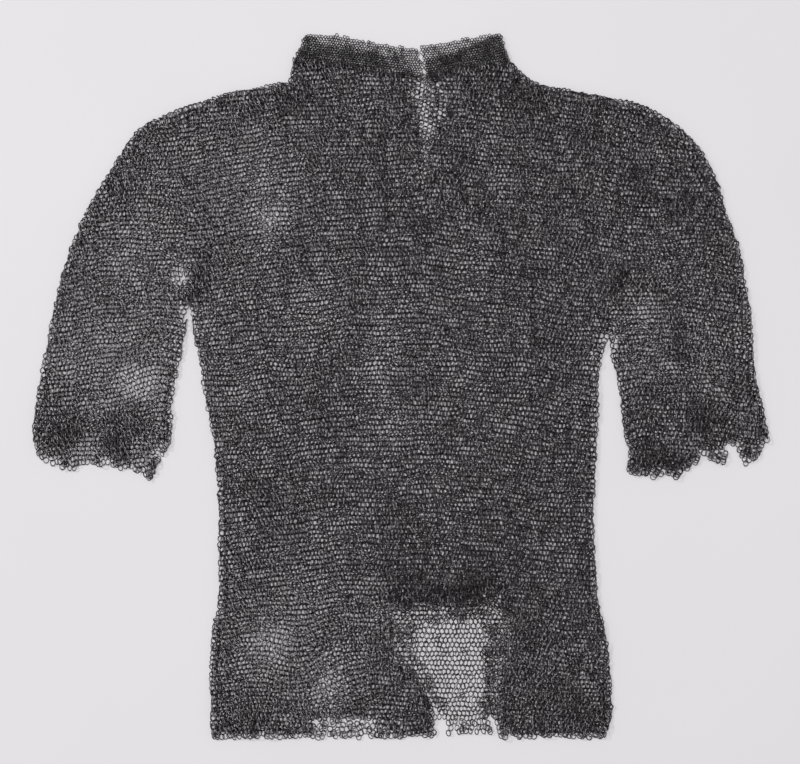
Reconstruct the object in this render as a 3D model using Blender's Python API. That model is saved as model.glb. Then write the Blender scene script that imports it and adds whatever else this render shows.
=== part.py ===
"""Mail hauberk lying on its back, spread flat: a wall of linked iron rings, in two layers.

It lies in the XY plane with the chest up, the neck towards +Y and the wearer's right
arm towards -X. The front lies on the back, and the sleeves and the standing collar are
flattened tubes. Along the sides, the shoulders and the sleeves the two layers pass into
each other round half-round folds. The cuffs, the hem, the neck slit and the torn vent
are cut edges. Outlines are in millimetres, and every mesh is written in metres.
"""

import math

import bmesh
import bpy
from mathutils import Matrix, Vector
from mathutils.geometry import delaunay_2d_cdt, intersect_point_line

MM = 0.001

# Thickness and spacing, in millimetres.
WALL = 3.5             # one layer of linked rings lying flat
GAP = 0.3              # between the layers, and between two pieces at a seam
STACK = 2 * WALL + GAP
FOLD_RADIUS = STACK / 2
BACK_TOP = WALL
FRONT_UNDER = WALL + GAP

# Fineness of the solids.
OUTLINE_STEP = 13.0    # along a panel's outline
FIELD_STEP = 28.0      # between the points inside the front
FIELD_MARGIN = 12.0    # from those points to the outline
SLEEVE_STATIONS = 17
COLLAR_STATIONS = 4
ARC_STEPS = 4          # of a half-round fold

# Body: outlines run from the hem up, or from the armhole to the neck.
SIDE_RIGHT = [(-235, -433), (-236, -372), (-232, -286), (-226, -272), (-226, -140),
              (-232, -65), (-242, -16), (-249, 33), (-256, 60), (-260, 103)]
SIDE_LEFT = [(246, -433), (256, -408), (254, -345), (248, -298), (240, -262), (235, -188),
             (235, -138), (238, -65), (240, -16), (243, 33), (253, 60)]
SHOULDER_RIGHT = [(-248, 349), (-219, 359), (-181, 366), (-152, 373), (-139, 373)]
SHOULDER_LEFT = [(258, 354), (231, 359), (203, 365), (175, 369), (153, 380), (135, 397)]
NECK_SIDE_RIGHT = [(-139, 373), (-137, 384), (-135, 402)]
NECKLINE = [(-135, 402), (-90, 398), (-40, 391), (4, 385), (30, 380), (72, 390),
            (106, 396), (135, 397)]
SLIT_RIGHT = [(4, 385), (14, 363), (17, 344), (19, 328), (27, 306), (28, 245)]
SLIT_LEFT = [(31, 380), (41, 368), (44, 347), (43, 330), (31, 306), (30, 245)]

# Hems: the vent is torn out of the front only, and the back shows through it.
VENT = [(42, -433), (42, -410), (37, -383), (17, -347), (-8, -310), (-10, -277),
        (46, -277), (83, -270), (107, -267), (117, -282), (119, -310), (113, -383), (116, -433)]
HEM_FRONT_RIGHT = [(-235, -433), (-110, -433), (-100, -423), (-10, -423), (0, -432), (42, -433)]
HEM_FRONT_LEFT = [(116, -433), (246, -433)]
HEM_BACK = [(-235, -433), (42, -433), (43, -412), (57, -409), (59, -428), (116, -427),
            (122, -433), (246, -433)]

# Sleeves: the outer edge runs from the shoulder, the inner one from the armpit, and the
# ragged cuff from the outer edge to the inner one.
SLEEVE_RIGHT_OUTER = [(-248, 349), (-270, 342), (-306, 327), (-328, 311), (-349, 281),
                      (-372, 243), (-393, 205), (-412, 156), (-425, 107), (-440, 33),
                      (-454, -53), (-446, -88)]
SLEEVE_RIGHT_INNER = [(-260, 103), (-268, 58), (-278, 9), (-283, -20), (-284, -70)]
CUFF_RIGHT = [(-446, -88), (-438, -98), (-426, -97), (-418, -104), (-400, -105), (-390, -95),
              (-372, -98), (-342, -103), (-324, -108), (-312, -118), (-303, -113),
              (-296, -93), (-287, -82), (-284, -70)]
SLEEVE_LEFT_OUTER = [(258, 354), (287, 348), (310, 338), (330, 326), (349, 310), (364, 293),
                     (379, 268), (389, 245), (397, 212), (410, 180), (420, 131), (428, 82),
                     (432, 21), (448, -53), (449, -69)]
SLEEVE_LEFT_INNER = [(253, 60), (257, 33), (265, 2), (271, -53), (278, -80), (274, -105)]
CUFF_LEFT = [(449, -69), (441, -83), (427, -99), (413, -98), (410, -82), (402, -71),
             (397, -94), (386, -97), (372, -89), (358, -100), (347, -107), (337, -116),
             (323, -108), (310, -115), (292, -113), (274, -105)]

# Collar: its foot is the neckline, and its top has a point above each of the foot's. The
# front's top edge is the lower one, and its two ends meet at a slanting gap.
COLLAR_FOOT_RIGHT = NECKLINE[:4] + [(28, 380)]
COLLAR_FOOT_LEFT = [(31, 380)] + NECKLINE[5:]
COLLAR_TOP_BACK = [(-119, 435), (-80, 433), (-36, 424), (2, 419), (26, 419), (66, 427),
                   (96, 432), (120, 435)]
COLLAR_TOP_RIGHT = [(-119, 435), (-80, 425), (-36, 415), (2, 410), (15, 407)]
COLLAR_TOP_LEFT = [(18, 407), (62, 417), (93, 427), (120, 435)]

# Folds and bunched rings that lift the upper layer: (from, to, half width, height).
RIDGES = [
    ((-235, 125), (-195, 195), 18, 3.0),     # right armpit
    ((230, 95), (195, 200), 18, 3.0),        # left armpit
    ((-130, 165), (20, 205), 14, 2.0),       # across the breast
    ((-50, -275), (10, -395), 13, 2.5),      # beside the vent, right
    ((-165, -290), (-130, -400), 16, 2.0),   # right skirt
    ((150, -290), (165, -400), 16, 2.0),     # left skirt
    ((-20, -245), (105, -240), 14, 2.5),     # above the vent
    ((-430, -60), (-300, -62), 11, 3.5),     # right cuff
    ((290, -85), (370, -62), 12, 3.5),       # left cuff
    ((352, 70), (348, -50), 12, 2.5),        # down the left sleeve
    ((-380, 150), (-330, 40), 16, 2.0),      # down the right sleeve
]

IRON = (0.045, 0.044, 0.048, 1.0)
COLLAR_IRON = (0.030, 0.029, 0.033, 1.0)


def relief(x, y):
    """How far the folds lift the upper layer at a point, in millimetres."""
    lift = 0.0
    for start, end, width, height in RIDGES:
        point = Vector((x, y, 0))
        a = Vector((*start, 0))
        b = Vector((*end, 0))
        near, along = intersect_point_line(point, a, b)
        if along < 0:
            near = a
        elif along > 1:
            near = b
        lift += height * math.exp(-((point - near).length / width) ** 2)
    return lift


def lengths(points):
    """Distance from the first point to each of them along the line."""
    total = [0.0]
    for p, q in zip(points, points[1:]):
        total.append(total[-1] + math.dist(p, q))
    return total


def spline_point(points, index, t):
    """A point on the Catmull-Rom curve between points[index] and the next one."""
    p1, p2 = Vector(points[index]), Vector(points[index + 1])
    p0 = Vector(points[index - 1]) if index else 2 * p1 - p2
    p3 = Vector(points[index + 2]) if index + 2 < len(points) else 2 * p2 - p1
    return 0.5 * (2 * p1 + (p2 - p0) * t + (2 * p0 - 5 * p1 + 4 * p2 - p3) * t ** 2
                  + (3 * p1 - p0 - 3 * p2 + p3) * t ** 3)


def curve(points, step=OUTLINE_STEP):
    """Points about `step` apart on a smooth line through `points`."""
    made = []
    for index in range(len(points) - 1):
        span = math.dist(points[index], points[index + 1])
        count = max(1, round(span / step))
        made += [spline_point(points, index, k / count) for k in range(count)]
    return made + [Vector(points[-1])]


def straight(points, step=OUTLINE_STEP):
    """Points at most `step` apart on straight runs between `points`."""
    made = []
    for p, q in zip(points, points[1:]):
        count = max(1, math.ceil(math.dist(p, q) / step))
        made += [Vector(p).lerp(Vector(q), k / count) for k in range(count)]
    return made + [Vector(points[-1])]


def resampled(points, fractions):
    """The points at these fractions of a line's whole length."""
    total = lengths(points)
    made = []
    for fraction in fractions:
        target = fraction * total[-1]
        index = 0
        while index < len(points) - 2 and total[index + 1] < target:
            index += 1
        span = total[index + 1] - total[index]
        made.append(points[index].lerp(points[index + 1], (target - total[index]) / span))
    return made


def inside(point, outline):
    """Whether a point is within a closed outline."""
    odd = False
    for p, q in zip(outline, outline[1:] + outline[:1]):
        if (p.y > point.y) != (q.y > point.y):
            crossing = p.x + (point.y - p.y) * (q.x - p.x) / (q.y - p.y)
            if point.x < crossing:
                odd = not odd
    return odd


def clearance(point, outline):
    """Distance from a point to a closed outline."""
    best = math.inf
    for p, q in zip(outline, outline[1:] + outline[:1]):
        near, along = intersect_point_line(point, p, q)
        if along < 0:
            near = p
        elif along > 1:
            near = q
        best = min(best, (point - near.to_2d()).length)
    return best


def field_points(outline):
    """A staggered net of points inside an outline, clear of its edge."""
    low = Vector((min(p.x for p in outline), min(p.y for p in outline)))
    high = Vector((max(p.x for p in outline), max(p.y for p in outline)))
    row_step = FIELD_STEP * math.sqrt(3) / 2
    made = []
    for row in range(int((high.y - low.y) / row_step) + 1):
        for column in range(int((high.x - low.x) / FIELD_STEP) + 1):
            stagger = FIELD_STEP / 2 * (row % 2)
            point = low + Vector((column * FIELD_STEP + stagger, row * row_step))
            if inside(point, outline) and clearance(point, outline) > FIELD_MARGIN:
                made.append(point)
    return made


def joined(runs):
    """One closed outline from runs of (points, folded), and how far each point is inset.

    A folded run's upper edge is drawn in by the fold's radius, square to the run, and
    at a corner with a cut run it is drawn in along the cut.
    """
    outline = []
    insets = []
    for number, (points, folded) in enumerate(runs):
        before, after = runs[number - 1], runs[(number + 1) % len(runs)]
        for index, point in enumerate(points[:-1]):
            ahead = points[index + 1]
            behind = points[index - 1] if index else point
            along = (ahead - behind).normalized()
            inward = Vector((-along.y, along.x))
            if index == 0 and before[1] != folded:
                other = before[0][-2] if folded else ahead
                inward = (other - point).normalized()
            keeps_fold = folded or (index == 0 and before[1])
            outline.append(point)
            insets.append(inward * FOLD_RADIUS if keeps_fold else Vector((0, 0)))
        assert (points[-1] - after[0][0]).length < 1e-4
    return outline, insets


def iron(name, colour):
    """Dark iron, dull with age."""
    material = bpy.data.materials.new(name)
    material.use_nodes = True
    shader = material.node_tree.nodes["Principled BSDF"]
    shader.inputs["Base Color"].default_value = colour
    shader.inputs["Metallic"].default_value = 0.85
    shader.inputs["Roughness"].default_value = 0.5
    return material


def add_object(name, mesh_data, material):
    """A new object from a bmesh in millimetres, facing out and written in metres."""
    bmesh.ops.scale(mesh_data, vec=(MM, MM, MM), verts=mesh_data.verts)
    bmesh.ops.recalc_face_normals(mesh_data, faces=mesh_data.faces)
    mesh = bpy.data.meshes.new(name)
    mesh_data.to_mesh(mesh)
    mesh_data.free()
    mesh.materials.append(material)
    piece = bpy.data.objects.new(name, mesh)
    bpy.context.scene.collection.objects.link(piece)
    return piece


def panel(name, runs, upper, material):
    """A wall over a closed outline, its folded edges rounded over to meet the other layer.

    The front is the upper layer, raised along the ridges. The back is flat.
    """
    outline, insets = joined(runs)
    inner = field_points(outline) if upper else []
    count = len(outline)
    ring = list(range(count))
    coords, _, triangles, origins, _, _ = delaunay_2d_cdt(
        outline + inner, [], [ring], 1, 1e-5)
    place = {source[0]: index for index, source in enumerate(origins)}
    drawn_in = [Vector((0, 0)) for _ in coords]
    for k, inset in enumerate(insets):
        drawn_in[place[k]] = inset
    edge = {place[k] for k in range(count)}

    data = bmesh.new()
    levels = []
    last = ARC_STEPS // 2
    for level in range(last + 1):
        angle = math.pi / 2 * level / last
        verts = {}
        for index, coord in enumerate(coords):
            if index in edge or level in (0, last):
                x, y = coord + drawn_in[index] * (1 - math.cos(angle))
                rise = WALL * math.sin(angle)
                z = FRONT_UNDER + relief(x, y) + rise if upper else BACK_TOP - rise
                verts[index] = data.verts.new((x, y, z))
        levels.append(verts)
    for corners in triangles:
        data.faces.new([levels[0][corner] for corner in reversed(corners)])
        data.faces.new([levels[last][corner] for corner in corners])
    for low, high in zip(levels, levels[1:]):
        for k in range(count):
            a, b = place[k], place[(k + 1) % count]
            data.faces.new((low[a], low[b], high[b], high[a]))
    return add_object(name, data, material)


def fold_arc(edge, inner, outer_skin):
    """A section's points round one fold, from the upper layer to the lower one."""
    outward = (edge - inner).normalized()
    if not outer_skin:
        centre = edge - outward * (FOLD_RADIUS + WALL / 2)
        lift = relief(*centre)
        return [(*centre, FRONT_UNDER + lift), (*centre, BACK_TOP)]
    centre = edge - outward * FOLD_RADIUS
    lift = relief(*centre)
    arc = []
    for k in range(ARC_STEPS + 1):
        angle = math.pi * k / ARC_STEPS
        at = centre + outward * FOLD_RADIUS * math.sin(angle)
        upper_share = (1 + math.cos(angle)) / 2
        arc.append((*at, FOLD_RADIUS * (1 + math.cos(angle)) + lift * upper_share))
    return arc


def skin_between(data, sections):
    """Quads between successive closed sections with equal numbers of points."""
    for near, far in zip(sections, sections[1:]):
        for k in range(len(near)):
            after = (k + 1) % len(near)
            data.faces.new((near[k], near[after], far[after], far[k]))


def sleeve(name, outer_points, inner_points, cuff_points, side, material):
    """A flattened tube, open at the armhole and at its ragged cuff."""
    stations = [k / (SLEEVE_STATIONS - 1) for k in range(SLEEVE_STATIONS)]
    across = lengths(cuff_points)
    across = [length / across[-1] for length in across]
    outer = resampled(curve(outer_points), stations)
    inner = resampled(curve(inner_points), stations)
    cuff = [Vector(point) for point in cuff_points]
    seam = Vector((side * GAP, 0))

    skins = {True: [], False: []}
    for o, i, s in zip(outer, inner, stations):
        row = []
        for c, v in zip(cuff, across):
            straight_across = o.lerp(i, v)
            bowed = c - outer[-1].lerp(inner[-1], v)
            row.append(straight_across + bowed * s ** 3 + seam)
        for outer_skin in (True, False):
            first = fold_arc(row[0], row[2], outer_skin)
            last = fold_arc(row[-1], row[-3], outer_skin)
            top_z = STACK if outer_skin else FRONT_UNDER
            low_z = 0.0 if outer_skin else BACK_TOP
            middle = row[2:-2]
            section = [(*p, top_z + relief(*p)) for p in middle]
            section += last
            section += [(*p, low_z) for p in reversed(middle)]
            section += reversed(first)
            skins[outer_skin].append(section)

    data = bmesh.new()
    loops = {}
    for outer_skin, sections in skins.items():
        made = [[data.verts.new(point) for point in section] for section in sections]
        skin_between(data, made)
        loops[outer_skin] = made
    pairs = matched([len(cuff) - 4] * 2, 2)
    for end in (0, -1):
        outer_end, inner_end = loops[True][end], loops[False][end]
        close_end(data, outer_end, inner_end, pairs)
        data.faces.new((outer_end[-1], outer_end[0], inner_end[0], inner_end[-1]))
    return add_object(name, data, material)


def matched(runs, folds):
    """Pairs of points, on the outer and inner skins of a section, that face each other.

    A section has runs of this many points, with a fold after each of the first `folds`.
    """
    pairs = []
    outer = inner = 0
    for number, run in enumerate(runs):
        pairs += [(outer + k, inner + k) for k in range(run)]
        outer += run
        inner += run
        if number < folds:
            pairs += [(outer, inner), (outer + ARC_STEPS, inner + 1)]
            outer += ARC_STEPS + 1
            inner += 2
    return pairs


def close_end(data, outer, inner, pairs):
    """An end face of a flattened tube, between the outer and inner skins' last sections."""
    for (a, c), (b, d) in zip(pairs, pairs[1:]):
        data.faces.new(outer[a:b + 1] + inner[c:d + 1][::-1])


def collar(name, material):
    """A flattened standing band, whose two ends meet in front with a gap between."""
    edges = {"right": (COLLAR_FOOT_RIGHT, COLLAR_TOP_RIGHT),
             "left": (COLLAR_FOOT_LEFT, COLLAR_TOP_LEFT),
             "back": (NECKLINE, COLLAR_TOP_BACK)}
    seam = Vector((0, GAP))
    data = bmesh.new()
    sections = []
    for station in range(COLLAR_STATIONS + 1):
        height = station / COLLAR_STATIONS
        rows = {}
        for part, (foot, top) in edges.items():
            rows[part] = [Vector(f).lerp(Vector(t), height) + seam for f, t in zip(foot, top)]
        right, left, back = rows["right"], rows["left"], rows["back"]
        section = [(*p, STACK) for p in left[:-1]]
        section += fold_arc(left[-1], left[-2], True)
        section += [(*p, 0.0) for p in reversed(back[1:-1])]
        section += reversed(fold_arc(right[0], right[1], True))
        section += [(*p, STACK) for p in right[1:]]
        section += [(*p, FRONT_UNDER) for p in reversed(right[1:])]
        section += fold_arc(right[0], right[1], False)
        section += [(*p, BACK_TOP) for p in back[1:-1]]
        section += reversed(fold_arc(left[-1], left[-2], False))
        section += [(*p, FRONT_UNDER) for p in reversed(left[:-1])]
        sections.append([data.verts.new(point) for point in section])
    skin_between(data, sections)
    runs = [len(left) - 1, len(back) - 2, len(right) - 1]
    outer_count = sum(runs) + 2 * (ARC_STEPS + 1)
    for section in (sections[0], sections[-1]):
        close_end(data, section[:outer_count], section[outer_count:][::-1], matched(runs, 2))
    return add_object(name, data, material)


def stand_at_origin(pieces):
    """Move the whole garment so that the middle of its underside is the origin."""
    corners = [vertex.co for piece in pieces for vertex in piece.data.vertices]
    low = Vector([min(corner[axis] for corner in corners) for axis in range(3)])
    high = Vector([max(corner[axis] for corner in corners) for axis in range(3)])
    middle = (low + high) / 2
    for piece in pieces:
        piece.data.transform(Matrix.Translation((-middle.x, -middle.y, -low.z)))


def body_runs(hem, neck_parts):
    """A panel's outline, counter-clockwise from the right hem corner along the hem."""
    side_left = curve(SIDE_LEFT)
    side_right = curve(SIDE_RIGHT)
    shoulder_left = curve(SHOULDER_LEFT)
    shoulder_right = curve(SHOULDER_RIGHT) + curve(NECK_SIDE_RIGHT)[1:]
    armhole_left = straight([side_left[-1], shoulder_left[0]])
    armhole_right = straight([shoulder_right[0], side_right[-1]])
    runs = [(part, False) for part in hem]
    runs.append((side_left, True))
    runs.append((armhole_left, False))
    runs.append((shoulder_left, True))
    runs += [(part, False) for part in neck_parts]
    runs.append((shoulder_right[::-1], True))
    runs.append((armhole_right, False))
    runs.append((side_right[::-1], True))
    return runs


def main():
    for old in list(bpy.data.objects):
        bpy.data.objects.remove(old)

    rings = iron("iron_rings", IRON)
    collar_rings = iron("collar_rings", COLLAR_IRON)

    back_runs = body_runs([straight(HEM_BACK)], [straight(NECKLINE)[::-1]])
    front_hem = [straight(HEM_FRONT_RIGHT), straight(VENT), straight(HEM_FRONT_LEFT)]
    slit_end = straight([SLIT_LEFT[-1], SLIT_RIGHT[-1]])
    front_neck = [straight(COLLAR_FOOT_LEFT)[::-1], curve(SLIT_LEFT), slit_end,
                  curve(SLIT_RIGHT)[::-1], straight(NECKLINE[:4])[::-1]]
    pieces = [
        panel("body_back", back_runs, False, rings),
        panel("body_front", body_runs(front_hem, front_neck), True, rings),
        sleeve("sleeve_right", SLEEVE_RIGHT_OUTER, SLEEVE_RIGHT_INNER, CUFF_RIGHT, -1, rings),
        sleeve("sleeve_left", SLEEVE_LEFT_OUTER, SLEEVE_LEFT_INNER, CUFF_LEFT, 1, rings),
        collar("collar", collar_rings),
    ]
    stand_at_origin(pieces)


main()
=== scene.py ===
"""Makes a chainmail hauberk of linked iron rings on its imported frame, laid flat on a pale floor.

Every ring of the upper layer is a real ring that laps over its four neighbours, and most pass
through one to three of them: the rings of a row all lean one way about the column's direction,
and those of the next row lean the other way. Wires that cross are not kept apart. Along the sides, the shoulders and the sleeves the rings turn round the
fold and run on underneath. The lower layer is real rings where it shows, along every cut edge
and inside the neck slit and the torn vent, and elsewhere a thin sheet woven in its material.
Outlines and spacings are in millimetres in the cut's own frame; meshes are in metres.
"""

import math

import bpy
import numpy as np
from bpy.props import FloatProperty, FloatVectorProperty, IntProperty, PointerProperty
from bpy.types import Operator, Panel, PropertyGroup
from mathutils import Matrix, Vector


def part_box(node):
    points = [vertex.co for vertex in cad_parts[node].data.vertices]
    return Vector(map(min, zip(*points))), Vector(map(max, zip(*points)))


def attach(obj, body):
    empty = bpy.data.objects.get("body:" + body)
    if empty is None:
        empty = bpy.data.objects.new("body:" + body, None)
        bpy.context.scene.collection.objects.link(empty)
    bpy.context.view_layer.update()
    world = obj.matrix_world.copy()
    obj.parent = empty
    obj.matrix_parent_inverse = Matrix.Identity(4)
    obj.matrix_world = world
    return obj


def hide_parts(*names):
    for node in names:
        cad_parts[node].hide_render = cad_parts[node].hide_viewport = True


bl_info = {
    "name": "Mail hauberk",
    "version": (1, 0, 0),
    "blender": (4, 5, 0),
    "location": "View3D > Sidebar > Hauberk",
    "description": "Makes a chainmail hauberk of linked iron rings, laid flat on a floor",
    "category": "Add Mesh",
}

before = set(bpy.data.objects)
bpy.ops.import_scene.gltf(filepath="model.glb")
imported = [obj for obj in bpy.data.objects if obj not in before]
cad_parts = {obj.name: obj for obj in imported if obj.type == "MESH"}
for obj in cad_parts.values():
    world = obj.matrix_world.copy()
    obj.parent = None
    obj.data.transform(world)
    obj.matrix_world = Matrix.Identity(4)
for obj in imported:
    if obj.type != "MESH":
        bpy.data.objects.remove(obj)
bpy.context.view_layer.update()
BODY = "root"
MM = 0.001

# The cut's frame: its right armpit and its hem are the back panel's lowest corner.
ARMPIT_X = -260.0
HEM_Y = -433.0
BACK_LOW, BACK_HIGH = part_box("body_back")
SHIFT = np.array([BACK_LOW.x / MM - ARMPIT_X, BACK_LOW.y / MM - HEM_Y])

# Heights of the two layers' middles, and of the thin woven sheet, above the floor.
BACK_Z = 2.1
FRONT_Z = 6.0
SHEET_Z = 1.6
SHEET_THICK = 1.2
FOLD_TURN = (FRONT_Z - BACK_Z) / 2
FOLD_INSET = 3.65           # from the outline to where the fold starts
FOLD_RUN = 7.0              # how far the folded rings run on underneath
CURVE_STEP = 9.0
COLLAR_LAP = 5.5            # how far the collar's rings lap over the neckline

# Outlines, each run from the hem up or from the armhole to the neck.
SIDE_RIGHT = [(-235, -433), (-236, -372), (-232, -286), (-226, -272), (-226, -140),
              (-232, -65), (-242, -16), (-249, 33), (-256, 60), (-260, 103)]
SIDE_LEFT = [(246, -433), (256, -408), (254, -345), (248, -298), (240, -262), (235, -188),
             (235, -138), (238, -65), (240, -16), (243, 33), (253, 60)]
SHOULDER_RIGHT = [(-248, 349), (-219, 359), (-181, 366), (-152, 373), (-139, 373)]
NECK_SIDE_RIGHT = [(-139, 373), (-137, 384), (-135, 402)]
SHOULDER_LEFT = [(258, 354), (231, 359), (203, 365), (175, 369), (153, 380), (135, 397)]
NECKLINE = [(-135, 402), (-90, 398), (-40, 391), (4, 385), (30, 380), (72, 390),
            (106, 396), (135, 397)]
SLIT_RIGHT = [(4, 385), (14, 363), (17, 344), (19, 328), (27, 306), (28, 245)]
SLIT_LEFT = [(31, 380), (41, 368), (44, 347), (43, 330), (31, 306), (30, 245)]
VENT = [(42, -433), (42, -410), (37, -383), (17, -347), (-8, -310), (-10, -277), (46, -277),
        (83, -270), (107, -267), (117, -282), (119, -310), (113, -383), (116, -433)]
HEM_FRONT_RIGHT = [(-235, -433), (-110, -432), (-98, -416), (-12, -415), (0, -431), (42, -433)]
HEM_FRONT_LEFT = [(116, -433), (246, -433)]
HEM_BACK = [(-235, -433), (40, -433), (41, -413), (50, -411), (52, -428), (116, -427),
            (122, -433), (246, -433)]
SLEEVE_RIGHT_OUTER = [(-248, 349), (-270, 342), (-306, 327), (-328, 311), (-349, 281),
                      (-372, 243), (-393, 205), (-412, 156), (-425, 107), (-440, 33),
                      (-454, -53), (-446, -88)]
SLEEVE_RIGHT_INNER = [(-260, 103), (-268, 58), (-278, 9), (-283, -20), (-284, -70)]
CUFF_RIGHT = [(-446, -88), (-438, -98), (-426, -97), (-418, -104), (-400, -105), (-390, -95),
              (-372, -98), (-342, -103), (-324, -108), (-312, -118), (-303, -113),
              (-296, -93), (-287, -82), (-284, -70)]
SLEEVE_LEFT_OUTER = [(258, 354), (287, 348), (310, 338), (330, 326), (349, 310), (364, 293),
                     (379, 268), (389, 245), (397, 212), (410, 180), (420, 131), (428, 82),
                     (432, 21), (448, -53), (449, -69)]
SLEEVE_LEFT_INNER = [(253, 60), (257, 33), (265, 2), (271, -53), (278, -80), (274, -105)]
CUFF_LEFT = [(449, -69), (441, -83), (427, -99), (413, -98), (410, -82), (402, -71),
             (397, -94), (386, -97), (372, -89), (358, -100), (347, -107), (337, -116),
             (323, -108), (310, -115), (292, -113), (274, -105)]
COLLAR_FOOT = [(-135, 402), (-90, 398), (-40, 391), (4, 385), (28, 380)]
COLLAR_TOP = [(-119, 435), (-101, 424), (-80, 418), (-36, 411), (-8, 406), (4, 392)]
COLLAR_FOOT_LEFT = [(31, 380), (72, 390), (106, 396), (135, 397)]
COLLAR_TOP_LEFT = [(18, 402), (62, 411), (93, 424), (120, 435)]
COLLAR_TOP_BACK = [(-119, 435), (-80, 433), (-36, 424), (2, 418), (18, 418), (66, 427),
                   (96, 432), (120, 435)]

# Soft ridges where the upper layer is pushed up: (from, to, half width, height).
RIDGES = [
    ((-235, 125), (-195, 195), 18, 3.0),
    ((230, 95), (195, 200), 18, 3.0),
    ((-130, 165), (20, 205), 14, 2.0),
    ((-50, -275), (10, -395), 13, 2.5),
    ((-165, -290), (-130, -400), 16, 2.0),
    ((150, -290), (165, -400), 16, 2.0),
    ((-20, -245), (105, -240), 14, 2.5),
    ((-430, -60), (-300, -62), 11, 3.5),
    ((290, -85), (370, -62), 12, 3.5),
    ((352, 70), (348, -50), 12, 2.5),
    ((-380, 150), (-330, 40), 16, 2.0),
]

# Where the mail is stretched open (above nought) or bunched (below): (x, y, radius, strain). The rings'
# colour follows it as painted light and shade: lighter where open, darker where bunched.
STRAINS = [
    (-328, 3, 26, 0.24), (-272, 143, 10, 0.30), (-180, 262, 52, 0.08), (-162, 205, 24, 0.16),
    (-162, -310, 32, 0.16), (-95, -368, 28, 0.16), (-28, -279, 20, 0.20), (297, 88, 28, 0.16),
    (-3, -46, 32, 0.12), (-28, 21, 30, 0.10), (-21, 76, 30, 0.10), (-113, 82, 36, 0.10),
    (-248, 143, 18, -0.18), (-260, 113, 16, -0.20), (266, 131, 24, -0.20),
    (-410, -52, 30, -0.18), (-340, -55, 28, -0.18), (305, -90, 24, -0.20),
    (364, -40, 26, -0.18), (340, 45, 20, -0.12), (-346, 103, 26, -0.14),
    (-346, 235, 24, -0.12), (10, -245, 40, -0.16), (90, -250, 40, -0.16),
    (-70, -132, 18, -0.16), (-184, -130, 36, -0.10), (-180, -402, 34, -0.12),
    (205, -402, 34, -0.12), (-132, 358, 22, -0.16), (156, 358, 26, -0.16),
    (352, 217, 26, -0.12), (-21, 235, 18, -0.08), (21, 192, 18, -0.08),
]

# Where the mail lies thinner (above nought) or closer (below), without being drawn: the same. The rings'
# colour follows it as painted light and shade: lighter where thinner, darker where closer.
THIN = [
    (-345, 40, 120, 0.21), (-330, 190, 90, 0.10), (-200, 290, 90, 0.12), (-170, 190, 80, 0.08),
    (-130, -330, 120, 0.20), (-250, -40, 60, 0.06), (330, 80, 110, 0.12), (300, 250, 60, -0.02),
    (180, -200, 120, -0.02), (50, -245, 90, -0.10), (29, 290, 13, 0.2), (29, 262, 12, 0.16),
    (200, -380, 90, 0.02), (-350, -55, 50, -0.05), (330, -90, 60, -0.06), (-271, 131, 9, 0.45),
    (-388, -74, 20, 0.20), (-326, -72, 14, 0.16), (-368, -28, 12, 0.20), (20, 60, 110, 0.04),
    (150, 40, 80, -0.03), (372, 12, 26, 0.14), (302, 40, 24, 0.10), (338, -60, 15, 0.22),
    (366, -68, 14, 0.16), (405, -40, 22, 0.10), (340, 30, 90, 0.06),
    (-395, -95, 26, 0.20), (-330, -100, 26, 0.20), (-298, -88, 18, 0.18), (425, -86, 18, 0.15),
    (380, -90, 20, 0.15), (310, -108, 20, 0.12),
]

# Where the rows are turned in the cloth: (x, y, radius, angle in radians).
SWIRLS = [
    (-320, 190, 75, -0.30), (320, 190, 75, 0.25), (-80, -350, 55, 0.30), (-160, -330, 45, -0.25),
    (170, -350, 50, -0.20), (-120, 250, 60, 0.15), (-345, 0, 50, 0.20), (350, 20, 50, 0.25),
]

# Where rings are missing through every layer: (from, to, half width).
HOLES = [
    ((42, -395), (43, -398), 3.7), ((107, -406), (114, -422), 3.0), ((18, 420), (24, 398), 1.9),
    ((24, 398), (29, 383), 1.4), ((-272, 130), (-270, 132), 2.2),
    ((-261, 99), (-264, 84), 3.0),
]

# Where torn loops of the front hang over the vent and the slit: the same.
TORN = [
    ((-8, -278), (-6, -312), 18), ((-6, -312), (38, -385), 14),
    ((-5, -277), (112, -271), 15), ((117, -280), (113, -400), 22), ((-4, -284), (14, -300), 12),
    ((12, 380), (22, 330), 3), ((44, 374), (39, 326), 10),
]

# Where torn or crumpled mail is heaped on itself: (from, to, half width).
HEAPS = [
    ((-14, -266), (20, -257), 14), ((20, -257), (122, -252), 16), ((-14, -272), (-6, -330), 8),
    ((8, -350), (36, -400), 9), ((-443, -46), (-408, -62), 14), ((-362, -42), (-348, -86), 13),
    ((-318, -60), (-308, -104), 8), ((295, -92), (335, -96), 12), ((358, -28), (372, -50), 13),
    ((-256, 100), (-244, 165), 10), ((256, 105), (276, 150), 13), ((338, 90), (342, 0), 9),
    ((-140, 352), (-122, 372), 12), ((140, 372), (172, 352), 12),
]

# Bands of the front, from the neck down: (name, lowest y).
BANDS = [("mail_yoke", 225.0), ("mail_chest", 80.0), ("mail_belly", -60.0),
         ("mail_waist", -262.0)]


def linear(hex_colour):
    """An sRGB hex colour as linear RGB."""
    made = []
    for k in (1, 3, 5):
        value = int(hex_colour[k:k + 2], 16) / 255
        made.append(value / 12.92 if value <= 0.04045 else ((value + 0.055) / 1.055) ** 2.4)
    return tuple(made)


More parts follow.
